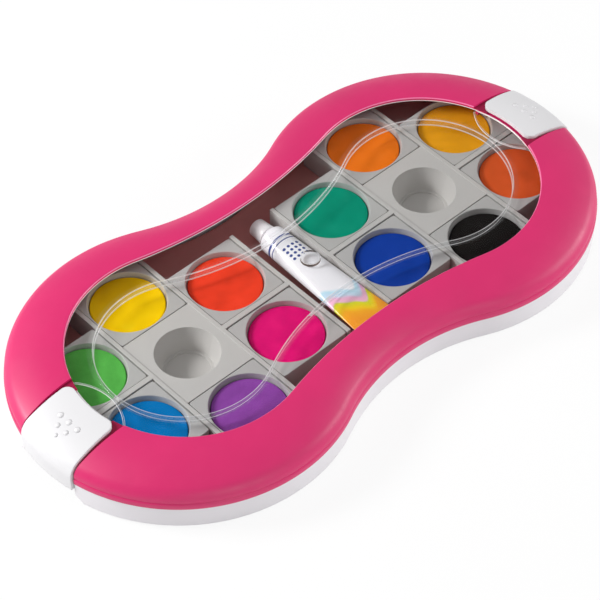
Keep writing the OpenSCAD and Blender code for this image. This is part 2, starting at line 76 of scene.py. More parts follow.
ARC_RIDGE_X, ARC_RIDGE_W, ARC_RIDGE_H, ARC_RIDGE_IN = 125.0, 0.8, 0.5, 0.4
BEAD_DROP, BEAD_BACK = 0.02, 0.1
BOSS_X, BOSS_Y, BOSS_R, BOSS_H, BOSS_EDGE = 2.5, 2.1, 4.0, 1.4, 0.4
SHOULDER_LEN, SKIN = 1.8, 0.02
CAP_BASE, CAP_TAPER, CAP_ROUND, CAP_RIB = 0.1, 0.5, 0.7, 0.045

SKIRT_Z = BASE_H + SKIRT_H
DOME_Z = SKIRT_Z + DOME_RISE
DOME_RUN = LOBE_X + LOBE_R - WINDOW_X - WINDOW_R
DOME_TOP_R = (DOME_RUN - DOME_EDGE_R) ** 2 + DOME_RISE ** 2 - DOME_EDGE_R ** 2
DOME_TOP_R /= 2 * (DOME_RISE - DOME_EDGE_R)
DOME_TURN = math.atan2(DOME_TOP_R - DOME_RISE, DOME_RUN - DOME_EDGE_R)
WINDOW_END = WINDOW_X + WINDOW_R
UNDER_LIP_Z = DOME_Z - LIP_H
SHEET_LOW_Z = PALETTE_Z - PALETTE_T


def waist_arc(x, r, half):
    """Radius of the waist's arc between round ends of radius r at x and -x, half wide in the middle."""
    return (x * x + half * half - r * r) / (2 * (r - half))


WAIST_R = waist_arc(LOBE_X, LOBE_R, WAIST_HALF)
WAIST_Y = WAIST_HALF + WAIST_R
WINDOW_ARC = waist_arc(WINDOW_X, WINDOW_R, WINDOW_HALF)
WINDOW_ARC_Y = WINDOW_HALF + WINDOW_ARC


def dome_point(a):
    """Inset and rise of the dome at angle a (radians) of its two arcs."""
    if a < DOME_TURN:
        return DOME_EDGE_R * (1 - math.cos(a)), DOME_EDGE_R * math.sin(a)
    return DOME_RUN - DOME_TOP_R * math.cos(a), DOME_RISE - DOME_TOP_R * (1 - math.sin(a))


def dome_height(inset):
    """Height of the round end's outer surface above the table at an inset from its edge."""
    if inset <= 0:
        return SKIRT_Z
    edge = DOME_EDGE_R * (1 - math.cos(DOME_TURN))
    if inset < edge:
        return SKIRT_Z + math.sqrt(max(0.0, DOME_EDGE_R ** 2 - (DOME_EDGE_R - inset) ** 2))
    run = min(inset, DOME_RUN)
    return DOME_Z - DOME_TOP_R + math.sqrt(DOME_TOP_R ** 2 - (DOME_RUN - run) ** 2)


# ---------------------------------------------------------------- shader helpers
def lin(r, g, b):
    """Colour given as it shows on screen, 0 to 255, as the shader's linear values."""
    def one(v):
        v /= 255
        return v / 12.92 if v <= 0.04045 else ((v + 0.055) / 1.055) ** 2.4
    return one(r), one(g), one(b), 1.0


def grey(v):
    return (v, v, v, 1.0)


def shade(colour, share, lift=0.0):
    """The colour times share, with lift added to each part, and never over full."""
    return tuple(min(1.0, c * share + lift) for c in colour[:3]) + (1.0,)


def put(nt, value, socket):
    """Sets a socket to a number or colour, or links it to another node's output."""
    if isinstance(value, (int, float, tuple)):
        socket.default_value = value
    else:
        nt.links.new(value, socket)


def new_material(name):
    m = bpy.data.materials.new(name)
    m.use_nodes = True
    nt = m.node_tree
    nt.nodes.clear()
    out = nt.nodes.new("ShaderNodeOutputMaterial")
    return m, nt, out


def place(nt):
    """Position on the piece, in metres, the same at rest and in every pose."""
    return nt.nodes.new("ShaderNodeTexCoord").outputs["Object"]


def principled(name):
    """A material with one Principled shader: the material, its tree, the shader and the position."""
    m, nt, out = new_material(name)
    p = nt.nodes.new("ShaderNodeBsdfPrincipled")
    put(nt, p.outputs[0], out.inputs[0])
    return m, nt, p, place(nt)


def noise(nt, scale, detail, rough, vector):
    n = nt.nodes.new("ShaderNodeTexNoise")
    n.inputs["Scale"].default_value = scale
    n.inputs["Detail"].default_value = detail
    n.inputs["Roughness"].default_value = rough
    put(nt, vector, n.inputs["Vector"])
    return n.outputs["Fac"]


def ramp(nt, fac, stops):
    r = nt.nodes.new("ShaderNodeValToRGB")
    els = r.color_ramp.elements
    while len(els) < len(stops):
        els.new(0.5)
    for e, (p, c) in zip(els, stops):
        e.position = p
        e.color = c
    put(nt, fac, r.inputs["Fac"])
    return r.outputs["Color"]


def math_node(nt, op, a, b=None):
    n = nt.nodes.new("ShaderNodeMath")
    n.operation = op
    put(nt, a, n.inputs[0])
    if b is not None:
        put(nt, b, n.inputs[1])
    return n.outputs[0]


def mixed(nt, share, first, second):
    """Shader that turns from the first into the second as share goes from 0 to 1."""
    mix = nt.nodes.new("ShaderNodeMixShader")
    for socket, value in zip(mix.inputs, (share, first, second)):
        put(nt, value, socket)
    return mix.outputs[0]


def coloured(nt, kind, colour):
    """A plain shader of one kind with a colour."""
    s = nt.nodes.new(kind)
    put(nt, colour, s.inputs["Color"])
    return s.outputs[0]


def bump(nt, height, strength, distance, edge=0.0):
    """Bump from a height, over edges that look rounded to a radius of edge metres."""
    b = nt.nodes.new("ShaderNodeBump")
    b.inputs["Strength"].default_value = strength
    b.inputs["Distance"].default_value = distance
    put(nt, height, b.inputs["Height"])
    if edge:
        r = nt.nodes.new("ShaderNodeBevel")
        r.samples = 4
        r.inputs["Radius"].default_value = edge
        put(nt, r.outputs["Normal"], b.inputs["Normal"])
    return b.outputs["Normal"]


# ---------------------------------------------------------------- materials
# Noise scales are in waves a metre, and heights and radii of materials in metres.
FLOW_SCALE, SHEEN_SCALE, GRAIN_SCALE = 38, 120, 2600
CLOUD_SCALE, DUST_SCALE, PRESS_DEPTH = 130, 1500, 0.00012
SHEET_IOR, SHEET_WAVE, FLAT_UP, SLOPE_UP = 1.1, 0.0001, 0.97, 0.6


def moulded(name, colour, rough, spread=0.03, grain=0.00002, spec=0.5, edge=0.0):
    """Moulded plastic: a fine spark-eroded grain, faint flow marks and uneven sheen."""
    m, nt, p, at = principled(name)
    flow = noise(nt, FLOW_SCALE, 4, 0.55, at)
    tones = [(0.35, shade(colour, 1 - spread)), (0.65, shade(colour, 1 + spread))]
    put(nt, ramp(nt, flow, tones), p.inputs["Base Color"])
    sheen = [(0.3, grey(max(0.03, rough - 0.05))), (0.7, grey(rough + 0.05))]
    put(nt, ramp(nt, noise(nt, SHEEN_SCALE, 3, 0.6, at), sheen), p.inputs["Roughness"])
    p.inputs["Specular IOR Level"].default_value = spec
    fine = noise(nt, GRAIN_SCALE, 2, 0.5, at)
    put(nt, bump(nt, fine, 0.35, grain, edge), p.inputs["Normal"])
    return m


def gouache(name, colour, seed):
    """Pressed gouache: matte, faintly mottled and with fine pores."""
    m, nt, p, at = principled(name)
    shift = nt.nodes.new("ShaderNodeVectorMath")
    shift.operation = "ADD"
    shift.inputs[1].default_value = (seed * 0.37, seed * 0.23, 0)
    put(nt, at, shift.inputs[0])
    cloud = math_node(nt, "MULTIPLY", noise(nt, CLOUD_SCALE, 5, 0.6, shift.outputs[0]), 0.7)
    dust = math_node(nt, "MULTIPLY", noise(nt, DUST_SCALE, 3, 0.6, shift.outputs[0]), 0.3)
    mottle = math_node(nt, "ADD", cloud, dust)
    tones = [(0.32, shade(colour, 0.84)), (0.52, colour), (0.7, shade(colour, 1.1, 0.008))]
    put(nt, ramp(nt, mottle, tones), p.inputs["Base Color"])
    p.inputs["Roughness"].default_value = 0.7
    p.inputs["Specular IOR Level"].default_value = 0.03
    put(nt, bump(nt, mottle, 0.5, PRESS_DEPTH), p.inputs["Normal"])
    return m


def see_through(nt, at, tint):
    """Tinted see-through sheet under a faintly waved gloss."""
    gloss = nt.nodes.new("ShaderNodeBsdfGlossy")
    gloss.inputs["Color"].default_value = (1, 1, 1, 1)
    sheen = ramp(nt, noise(nt, 60, 3, 0.6, at), [(0.35, grey(0.03)), (0.7, grey(0.1))])
    put(nt, sheen, gloss.inputs["Roughness"])
    wave = bump(nt, noise(nt, 25, 2, 0.4, at), 0.05, SHEET_WAVE)
    put(nt, wave, gloss.inputs["Normal"])
    fresnel = nt.nodes.new("ShaderNodeFresnel")
    fresnel.inputs["IOR"].default_value = SHEET_IOR
    clear = coloured(nt, "ShaderNodeBsdfTransparent", tint)
    return mixed(nt, fresnel.outputs[0], clear, gloss.outputs[0])


def lit_white(nt, at):
    """White that takes light from both sides, painted onto the clear plastic as highlight."""
    tone = ramp(nt, noise(nt, 90, 2, 0.5, at), [(0.3, grey(0.9)), (0.7, grey(0.97))])
    front = coloured(nt, "ShaderNodeBsdfDiffuse", tone)
    through = coloured(nt, "ShaderNodeBsdfTranslucent", tone)
    return mixed(nt, 0.5, front, through)


def clear_plastic(name, tint, flat_highlight=0.0, slope_highlight=0.7):
    """Clear moulded sheet with a tint and a painted highlight: its first share is how white it is painted on
    the flat, its second on its sloping edges.
    """
    m, nt, out = new_material(name)
    at = place(nt)
    split = nt.nodes.new("ShaderNodeSeparateXYZ")
    put(nt, nt.nodes.new("ShaderNodeTexCoord").outputs["Normal"], split.inputs[0])
    slope = nt.nodes.new("ShaderNodeMapRange")
    slope.interpolation_type = "SMOOTHSTEP"
    slope.inputs["From Min"].default_value = FLAT_UP
    slope.inputs["From Max"].default_value = SLOPE_UP
    slope.inputs["To Min"].default_value = flat_highlight
    slope.inputs["To Max"].default_value = slope_highlight
    put(nt, math_node(nt, "ABSOLUTE", split.outputs["Z"]), slope.inputs["Value"])
    # White mixed in by how much the face slopes, and by a share on the flat: painted highlight on the clear
    # plastic.
    put(nt, mixed(nt, slope.outputs[0], see_through(nt, at, tint), lit_white(nt, at)), out.inputs[0])
    return m


def steel(name):
    m, nt, p, at = principled(name)
    p.inputs["Metallic"].default_value = 1.0
    tones = [(0.3, lin(150, 150, 155)), (0.7, lin(190, 190, 195))]
    put(nt, ramp(nt, noise(nt, 700, 3, 0.6, at), tones), p.inputs["Base Color"])
    sheen = [(0.3, grey(0.28)), (0.7, grey(0.42))]
    put(nt, ramp(nt, noise(nt, 300, 2, 0.5, at), sheen), p.inputs["Roughness"])
    return m


mat_pink = moulded("pink_shell", lin(214, 32, 104), 0.46, spread=0.03, grain=0.00004, spec=0.55)
# Darker pink for the rebate floor beside each latch: painted shade of that narrow groove.
mat_groove_shade = moulded("pink_groove_painted_shade", lin(150, 8, 62), 0.5, spread=0.03, grain=0.00004, spec=0.3)
# Pale pink on the middle of the lip's round: a painted highlight along the window's edge.
mat_lip_highlight = moulded("pink_lip_painted_highlight", lin(242, 128, 172), 0.25, spread=0.02, grain=0.00001)
mat_white = moulded("white_shell", lin(235, 232, 236), 0.42, spread=0.012, grain=0.000015, edge=0.0005)
mat_latch = moulded("white_latch", lin(226, 225, 227), 0.45, spread=0.008, grain=0.000008, edge=0.0007)
mat_liner = moulded("brown_liner", lin(206, 138, 134), 0.45, spread=0.06, grain=0.00003, spec=0.3)
TRAY_GREY, PAN_GREY = lin(198, 195, 192), lin(186, 184, 182)
mat_tray = moulded("grey_tray", TRAY_GREY, 0.45, spread=0.025, grain=0.00003, spec=0.35, edge=0.0003)
mat_pan = moulded("grey_pan", PAN_GREY, 0.5, spread=0.03, grain=0.00004, spec=0.3, edge=0.0003)
mat_cap = moulded("white_cap", lin(238, 236, 238), 0.3, spread=0.01, grain=0.00001)
# The clear pieces get white painted on their sloping faces as highlight, and some also on their flat faces.
mat_sheet = clear_plastic("clear_plastic", (0.996, 0.998, 0.998, 1))
# Its grey tint darkens what is seen and lit through it, as painted shade for the light the ridge bends away;
# its white sides are painted highlight.
mat_ridge = clear_plastic("clear_plastic_ridge", (0.86, 0.87, 0.88, 1), flat_highlight=0.1, slope_highlight=0.8)
# Pale lines at the well's edges: painted highlight.
mat_line_highlight = clear_plastic("clear_plastic_line_highlight", (0.9, 0.91, 0.92, 1), flat_highlight=0.55, slope_highlight=0.7)
mat_step = clear_plastic("clear_plastic_step", (0.95, 0.955, 0.96, 1), flat_highlight=0.03, slope_highlight=0.06)
# Dark brown see-through tint for the round mark's side wall: painted shade seen through its side.
mat_wall_shade = clear_plastic("clear_plastic_wall_painted_shade", (0.22, 0.17, 0.15, 1), flat_highlight=0.0, slope_highlight=0.04)
# Near-white opaque strip under the ring's lip: a painted highlight of the clear sheet's edge.
mat_bead_highlight = moulded("clear_edge_painted_highlight", lin(244, 238, 238), 0.2, spread=0.01, grain=0.00001)
mat_steel = steel("steel_pin")

PAINTS = {
    "yellow": (255, 208, 0), "violet": (146, 74, 168), "red": (246, 66, 38), "magenta": (232, 18, 118),
    "light_green": (96, 192, 84), "sky_blue": (6, 120, 190), "orange": (250, 124, 24), "black": (24, 21, 20),
    "ochre": (240, 164, 22), "sienna": (226, 92, 40), "turquoise": (0, 150, 120), "ultramarine": (16, 62, 164),
}
paint_mats = {n: gouache("paint_" + n, lin(*c), i + 1) for i, (n, c) in enumerate(PAINTS.items())}

CAD_LOOKS = {
    "case_base": mat_white, "case_liner": mat_liner, "clear_palette": mat_sheet,
    "left_latch": mat_latch, "right_latch": mat_latch, "left_tray": mat_tray, "right_tray": mat_tray,
    "left_hinge_pin": mat_steel, "right_hinge_pin": mat_steel, "tube_cap": mat_cap, "lid_ring": mat_pink,
}
for name, node in NODES.items():
    look = CAD_LOOKS.get(name, mat_pan if "_pan_" in name else None)
    if "_paint_" in name:
        look = paint_mats[name.split("_paint_")[1]]
    if look is not None:
        node.data.materials.clear()
        node.data.materials.append(look)


# ---------------------------------------------------------------- mesh helpers
def flat_list(rows):
    return [v for row in rows for v in row]


def around(turns):
    """Cosine and sine of even steps round a circle."""
    angles = [2 * math.pi * t / turns for t in range(turns)]
    return [(math.cos(a), math.sin(a)) for a in angles]


def quarter_turn(steps, first=0):
    """Angles from 0 to a quarter turn in even steps, leaving out those before the first."""
    return [math.pi / 2 * k / steps for k in range(first, steps + 1)]


def grid_faces(rows, cols, closed_rows=False, closed_cols=False):
    """Quads between rows of cols points each."""
    out = []
    for i in range(rows if closed_rows else rows - 1):
        for j in range(cols if closed_cols else cols - 1):
            a, b = i * cols + j, i * cols + (j + 1) % cols
            c, d = (i + 1) % rows * cols + (j + 1) % cols, (i + 1) % rows * cols + j
            out.append((a, b, c, d))
    return out


def end_faces(rows, cols):
    """Faces that close the first and the last of the rows."""
    low = (rows - 1) * cols
    return [tuple(range(cols)), tuple(low + i for i in range(cols))]


def crown_faces(rows, turns):
    """Faces of a round piece: one top point, then rows of turns points, closed below."""
    faces = [(0, 1 + t, 1 + (t + 1) % turns) for t in range(turns)]
    for k in range(rows - 1):
        for t in range(turns):
            a, b = 1 + k * turns + t, 1 + k * turns + (t + 1) % turns
            faces.append((a, a + turns, b + turns, b))
    low = 1 + (rows - 1) * turns
    faces.append(tuple(low + t for t in range(turns)))
    return faces


def prism(points, z0, z1):
    """Points and faces of an upright prism over a flat outline."""
    n = len(points)
    verts = [(x, y, z0) for x, y in points] + [(x, y, z1) for x, y in points]
    faces = [tuple(range(n - 1, -1, -1)), tuple(range(n, 2 * n))]
    faces += [(i, (i + 1) % n, n + (i + 1) % n, n + i) for i in range(n)]
    return verts, faces


def plain_object(name, verts, faces):
    """Object made from points in millimetres, with its faces turned outwards."""
    me = bpy.data.meshes.new(name)
    me.from_pydata([tuple(c * MM for c in v) for v in verts], [], faces)
    me.validate()
    bm = bmesh.new()
    bm.from_mesh(me)
    bmesh.ops.recalc_face_normals(bm, faces=bm.faces)
    bm.to_mesh(me)
    bm.free()
    ob = bpy.data.objects.new(name, me)
    bpy.context.scene.collection.objects.link(ob)
    return ob


def smooth(ob, sharp_degrees=None):
    """Smooth shading, broken at edges that turn more than sharp_degrees."""
    for f in ob.data.polygons:
        f.use_smooth = True
    if sharp_degrees is not None:
        ob.data.set_sharp_from_angle(angle=math.radians(sharp_degrees))


def mesh_piece(name, verts, faces, material, body, sharp_degrees=None):
    """A smooth piece of one material that rides on a body."""
    ob = plain_object(name, verts, faces)
    ob.data.materials.append(material)
    smooth(ob, sharp_degrees)
    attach(ob, body)
    return ob


def cut(ob, tools):
    """Cuts the tools out of ob for good."""
    for t in tools:
        mod = ob.modifiers.new("cut", "BOOLEAN")
        mod.operation = "DIFFERENCE"
        mod.solver = "EXACT"
        mod.object = t
    deps = bpy.context.evaluated_depsgraph_get()
    me = bpy.data.meshes.new_from_object(ob.evaluated_get(deps))
    ob.modifiers.clear()
    old = ob.data
    ob.data = me
    bpy.data.meshes.remove(old)
    for t in tools:
        data = t.data
        bpy.data.objects.remove(t)
        bpy.data.meshes.remove(data)


# ---------------------------------------------------------------- lid ring
# The ring's looks: its own pink, a paler pink on the lip as painted highlight, and a darker pink in the groove
# as painted shade.
RING_LOOKS = (mat_pink, mat_lip_highlight, mat_groove_shade)
SHELL, LIP, GROOVE_SHADE = 0, 1, 2
# The section's faces on the round of the lip that take a paler pink, a painted highlight that shows as a pale
# line.
LIP_HIGHLIGHT_FACES = range(35, 37)


def leave_case(p, n):
    """Distance from p along n to the case's outline."""
    cx = math.copysign(LOBE_X, p.x)
    d = Vector((cx, 0)) - p
    along = d.dot(n)
    end = along + math.sqrt(along * along - d.dot(d) + LOBE_R ** 2)
    q = p + end * n
    if abs(q.x) / LOBE_X + abs(q.y) / WAIST_Y >= 1:
        return end
    d = Vector((0, math.copysign(WAIST_Y, p.y))) - p
    along = d.dot(n)
    return along - math.sqrt(along * along - d.dot(d) + WAIST_R ** 2)


def ring_stations(end_steps=150, waist_steps=54):
    """Points round the window's edge, each with its outward direction and the ring's width there."""
    turn = math.atan2(WINDOW_X, WINDOW_ARC_Y)
    span = math.atan2(WINDOW_ARC_Y, -WINDOW_X)
    out = []
    for side in (1, -1):
        for k in range(end_steps):
            a = (0 if side > 0 else math.pi) - span + 2 * span * k / end_steps
            n = Vector((math.cos(a), math.sin(a)))
            out.append((Vector((side * WINDOW_X, 0)) + WINDOW_R * n, n))
        for k in range(waist_steps):
            a = math.pi / 2 - turn + 2 * turn * k / waist_steps
            n = Vector((-math.cos(a), math.sin(a))) * side
            out.append((Vector((0, side * WINDOW_ARC_Y)) - WINDOW_ARC * n, n))
    return [(p, n, leave_case(p, n)) for p, n in out]


def station_row(station, section):
    """A section's (inset, height) points, set upright at a station of the ring."""
    p, n, w = station
    row = []
    for inset, z in section:
        q = p + (w - inset) * n
        row.append((q.x, q.y, z))
    return row


def band_section():
    """The ring's band from its lower edge up to the crease above it."""
    foot = [(0.35, 0), (0.1, 0.1), (0, 0.35)]
    crease = [(0, -0.6), (0.06, -0.3), (0.42, -0.05), (0.46, 0.1), (0.3, 0.45), (0.26, 0.8)]
    return [(x, BASE_H + z) for x, z in foot] + [(x, SKIRT_Z + z) for x, z in crease]


def dome_section(w):
    """The dome's outer curve from the crease to its top, where the ring is w wide."""
    first = math.acos(1 - CREASE / DOME_EDGE_R)
    angles = [first + (DOME_TURN - first) * k / 9 for k in range(9)]
    angles += [DOME_TURN + (math.pi / 2 - DOME_TURN) * k / 15 for k in range(15)]
    return [(w * x / DOME_RUN, SKIRT_Z + z) for x, z in map(dome_point, angles)]


def inner_section(w, back):
    """The inside of the dome, from the palette's seat down to the lower edge."""
    last = math.acos((DOME_RUN - DOME_RUN * (back - RING_WALL) / (w - RING_WALL)) / DOME_TOP_R)
    angles = [DOME_TURN * k / 6 for k in range(6)]
    angles += [DOME_TURN + (last - DOME_TURN) * k / 6 for k in range(7)]
    pts = []
    for x, z in map(dome_point, reversed(angles)):
        rise = z * (DOME_RISE - RING_WALL) / DOME_RISE
        pts.append((RING_WALL + (w - RING_WALL) * x / DOME_RUN, SKIRT_Z + rise))
    return pts + [(RING_WALL, BASE_H)]


def ring_profile(w):
    """Closed section of the ring where it is w wide, with a crease above its band and a rounded lip."""
    pts = band_section() + dome_section(w)
    for a in quarter_turn(5):
        pts.append((w - LIP_ROUND + LIP_ROUND * math.sin(a), DOME_Z - LIP_ROUND + LIP_ROUND * math.cos(a)))
    pts += [(w, UNDER_LIP_Z + 0.1), (w - 0.1, UNDER_LIP_Z)]
    pts += [(w - UNDERCUT, UNDER_LIP_Z), (w - UNDERCUT, PALETTE_Z)]
    seat = w - PALETTE_EDGE - PALETTE_GAP
    back = seat - RING_LIP
    pts += [(seat, PALETTE_Z), (seat, SHEET_LOW_Z), (back, SHEET_LOW_Z)]
    return pts + inner_section(w, back)


def latch_plan(grow):
    """Outline of a latch from above, at the +X end, grown by grow."""
    arc = WINDOW_R + RING_LIP + LATCH_GAP
    cy = LATCH_HALF - LATCH_CORNER_R
    cx = WINDOW_X + math.sqrt((arc + LATCH_CORNER_R) ** 2 - cy ** 2)
    r = LATCH_CORNER_R + grow
    side = cy + r
    join = math.atan2(cy, cx - WINDOW_X)
    pts = [(CUT_REACH, -side - LATCH_FLARE)]
    for k in range(13):
        a = -math.pi / 2 - (math.pi / 2 - join) * k / 12
        pts.append((cx + r * math.cos(a), -cy + r * math.sin(a)))
    for k in range(1, 16):
        a = -join + 2 * join * k / 16
        pts.append((WINDOW_X + (arc - grow) * math.cos(a), (arc - grow) * math.sin(a)))
    for k in range(13):
        a = (math.pi + join) - (math.pi / 2 + join) * k / 12
        pts.append((cx + r * math.cos(a), cy + r * math.sin(a)))
    pts.append((CUT_REACH, side + LATCH_FLARE))
    return pts


def ring_looks(ob):
    for look in RING_LOOKS:
        ob.data.materials.append(look)


def sunk_ring(stations):
    """Solid whose outer surface lies REBATE_DEPTH below the ring's, down past its lower edge."""
    depth = REBATE_DEPTH
    angles = [DOME_TURN * k / 8 for k in range(1, 8)]
    angles += [DOME_TURN + (math.pi / 2 - DOME_TURN) * k / 13 for k in range(14)]
    rows = []
    for station in stations:
        w = station[2]
        section = [(depth, BASE_H - 4), (depth, SKIRT_Z)]
        for a in angles:
            x, z = dome_point(a)
            section.append((w * x / DOME_RUN + depth * math.cos(a), SKIRT_Z + z - depth * math.sin(a)))
        section += [(w + 6, DOME_Z - depth), (w + 6, BASE_H - 4)]
        rows.append(station_row(station, section))
    ob = plain_object("sunk", flat_list(rows), grid_faces(len(rows), len(rows[0]), True, True))
    ring_looks(ob)
    # All its faces take the darker pink: painted shade on the groove's floor.
    for f in ob.data.polygons:
        f.material_index = GROOVE_SHADE
    return ob


def upright_cutter(name, outline, side, low_z):
    """Prism from low_z up past the ring, turned round to its side of the box."""
    return plain_object(name, *prism([(side * x, side * y) for x, y in outline], low_z, CUT_TOP_Z))


def notch_cutters(side, stations):
    """What is cut out of the ring at one end: the latch's place, its way down and the groove beside it."""
    plan = latch_plan(NOTCH_GAP)
    top = upright_cutter("cut_top", plan, side, LEDGE_Z)
    nose = LATCH_HALF - LATCH_CORNER_R
    back_x, front_x = WINDOW_END - NOSE_BACK, WINDOW_END + NOSE_FRONT
    box = [(back_x, -nose), (front_x, -nose), (front_x, nose), (back_x, nose)]
    middle = upright_cutter("cut_nose", box, side, LEDGE_Z)
    half = max(y for x, y in plan)
    ledge_r = WINDOW_R + RING_LIP + LEDGE_W
    arc = []
    for k in range(17):
        a = math.asin((LATCH_HALF + NOTCH_GAP) / ledge_r) * (1 - 2 * k / 16)
        arc.append((WINDOW_X + ledge_r * math.cos(a), ledge_r * math.sin(a)))
    through = [(CUT_REACH, -half), *reversed(arc), (CUT_REACH, half)]
    low = upright_cutter("cut_low", through, side, CUT_LOW_Z)
    wide = [(CUT_REACH, -REBATE_LOW_Y), (back_x, -REBATE_TOP_Y)]
    wide += [(back_x, REBATE_TOP_Y), (CUT_REACH, REBATE_LOW_Y)]
    rebate = upright_cutter("cut_rebate", wide, side, CUT_LOW_Z)
    ring_looks(rebate)
    cut(rebate, [sunk_ring(stations)])
    return [top, middle, low, rebate]


def make_ring():
    stations = ring_stations()
    rows = [station_row(station, ring_profile(station[2])) for station in stations]
    cols = len(rows[0])
    ob = plain_object("ring_shell", flat_list(rows), grid_faces(len(rows), cols, True, True))
    ring_looks(ob)
    for i, f in enumerate(ob.data.polygons):
        f.material_index = LIP if i % cols in LIP_HIGHLIGHT_FACES else SHELL
    cut(ob, notch_cutters(1, stations) + notch_cutters(-1, stations))
    bevel = ob.modifiers.new("edge", "BEVEL")
    bevel.width = RING_BEVEL * MM
    bevel.segments = 2
    bevel.limit_method = "ANGLE"
    bevel.angle_limit = math.radians(50)
    bevel.harden_normals = False
    smooth(ob, 45)
    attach(ob, "lid")
    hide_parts("lid_ring")


def make_web(name, side, y):
    """Plate that closes the ring's wall beside a latch."""
    back_x = TRAY_X + TRAY_HALF_X + WEB_BACK
    top = []
    for k in range(25):
        x = WINDOW_END + (LOBE_X + LOBE_R - 2 - WINDOW_END) * k / 24
        inset = LOBE_R - math.hypot(x - LOBE_X, abs(y) + WEB_W / 2)
        if inset > RING_WALL / 2:
            top.append((x, dome_height(inset) - RING_WALL / 2))
    foot_z = BASE_H + WEB_RISE
    outline = [(WINDOW_END, WEB_LOW_Z), *top, (top[-1][0], foot_z), (back_x, foot_z), (back_x, WEB_LOW_Z)]
    n = len(outline)
    verts = [(side * x, side * (y + s * WEB_W / 2), z) for s in (-1, 1) for x, z in outline]
    faces = [tuple(range(n)), tuple(range(2 * n - 1, n - 1, -1))]
    faces += [(i, n + i, n + (i + 1) % n, (i + 1) % n) for i in range(n)]
    ob = plain_object(name, verts, faces)
    ob.data.materials.append(mat_pink)
    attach(ob, "lid")


make_ring()
WEB_Y = LATCH_HALF + LATCH_FLARE + LATCH_GAP + WEB_W / 2
for side, label in ((1, "right"), (-1, "left")):
    make_web(label + "_web_a", side, WEB_Y)
    make_web(label + "_web_b", side, -WEB_Y)


# ---------------------------------------------------------------- tablets and pans
def tablet_height(x, y, seed):
    """Height of a tablet's softly waved face below the pan's edge."""
    a = seed * 1.7
    u = x * math.cos(a) + y * math.sin(a)
    v = -x * math.sin(a) + y * math.cos(a)
    wave = math.sin(0.33 * u + 1.1 * math.sin(0.16 * v + seed) + seed) * 0.14
    swirl = math.sin(0.21 * v - 0.4 * math.sin(0.2 * u) + 2.1 * seed) * 0.1
    r = math.hypot(x, y) / TABLET_R
    return TABLET_TOP - TABLET_SINK + (wave + swirl) * (1 - r ** 4) + TABLET_DISH * r * r


def tablet_mesh(seed):
    """A pressed tablet with a waved face, a rounded edge and a straight wall."""
    rings, turns = 22, 72
    flat_r = TABLET_R - TABLET_EDGE
    circle = around(turns)
    verts = [(0, 0, tablet_height(0, 0, seed))]
    for k in range(1, rings + 1):
        r = flat_r * k / rings
        verts += [(r * c, r * s, tablet_height(r * c, r * s, seed)) for c, s in circle]
    for b in quarter_turn(5, 1):
        r = flat_r + TABLET_EDGE * math.sin(b)
        for c, s in circle:
            h = tablet_height(flat_r * c, flat_r * s, seed)
            verts.append((r * c, r * s, h - TABLET_EDGE + TABLET_EDGE * math.cos(b)))
    depth = PAN_H - PAN_FLOOR - TABLET_DROP
    verts += [(TABLET_R * c, TABLET_R * s, -depth) for c, s in circle]
    return verts, crown_faces(rings + 6, turns)


def square_row(inset, z, circle):
    """A rounded square inside the pan's outline, with as many points as the circle."""
    side, reach, flat = PAN_W / 2 - inset, PAN_CORNER - inset, PAN_W / 2 - PAN_CORNER
    row = []
    for c, s in circle:
        x, y = c * side / max(abs(c), abs(s)), s * side / max(abs(c), abs(s))
        over = Vector((abs(x) - flat, abs(y) - flat))
        if over.x > 0 and over.y > 0 and over.length > reach:
            over = over.normalized() * reach
            x = math.copysign(flat + over.x, x)
            y = math.copysign(flat + over.y, y)
        row.append((x, y, z))
    return row


def pan_mesh():
    """A square pan with a round well, in rows from the well's floor out to the walls."""
    circle = around(144)
    well = [(SEAT_R, PAN_FLOOR - PAN_H), (SEAT_R, -TABLET_DROP), (WELL_R - 0.12, -WELL_FILLET - 0.1)]
    for a in quarter_turn(4):
        r = WELL_R - 0.1 + WELL_FILLET * (1 - math.cos(a))
        well.append((r, -WELL_FILLET + WELL_FILLET * math.sin(a)))
    well.append((WELL_R + WELL_FILLET - 0.06, 0))
    rows = [[(r * c, r * s, z) for c, s in circle] for r, z in well]
    for inset, z in ((0.19, 0), (0.12, 0), (0.04, -0.04), (0, -0.12), (0, -0.4), (0, -PAN_H)):
        rows.append(square_row(inset, z, circle))
    faces = grid_faces(len(rows), len(circle), False, True) + end_faces(len(rows), len(circle))
    return flat_list(rows), faces


def fill_place(side, name, seed):
    """Puts a finer tablet and pan in the place of the source's own."""
    body, node, pan_node = side + "_tray", f"{side}_paint_{name}", f"{side}_pan_{name}"
    lo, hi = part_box(node)
    cx, cy, z = (lo.x + hi.x) / 2 / MM, (lo.y + hi.y) / 2 / MM, hi.z / MM
    verts, faces = tablet_mesh(seed)
    verts = [(x + cx, y + cy, h + z) for x, y, h in verts]
    tablet = mesh_piece(node + "_face", verts, faces, paint_mats[name], body, 60)
    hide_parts(node)
    verts, faces = pan_mesh()
    verts = [(x + cx, y + cy, h + TRAY_TOP) for x, y, h in verts]
    pan = mesh_piece(pan_node + "_skin", verts, faces, mat_pan, body, 50)
    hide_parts(pan_node)


# The paints of each tray, and the first number that shapes its tablets' waves.
TRAYS = [
    ("left", 1, ["yellow", "violet", "red", "magenta", "light_green", "sky_blue"]),
    ("right", 8, ["orange", "black", "ochre", "sienna", "turquoise", "ultramarine"]),
]
for side, first, names in TRAYS:
    for i, name in enumerate(names):
        fill_place(side, name, first + i)


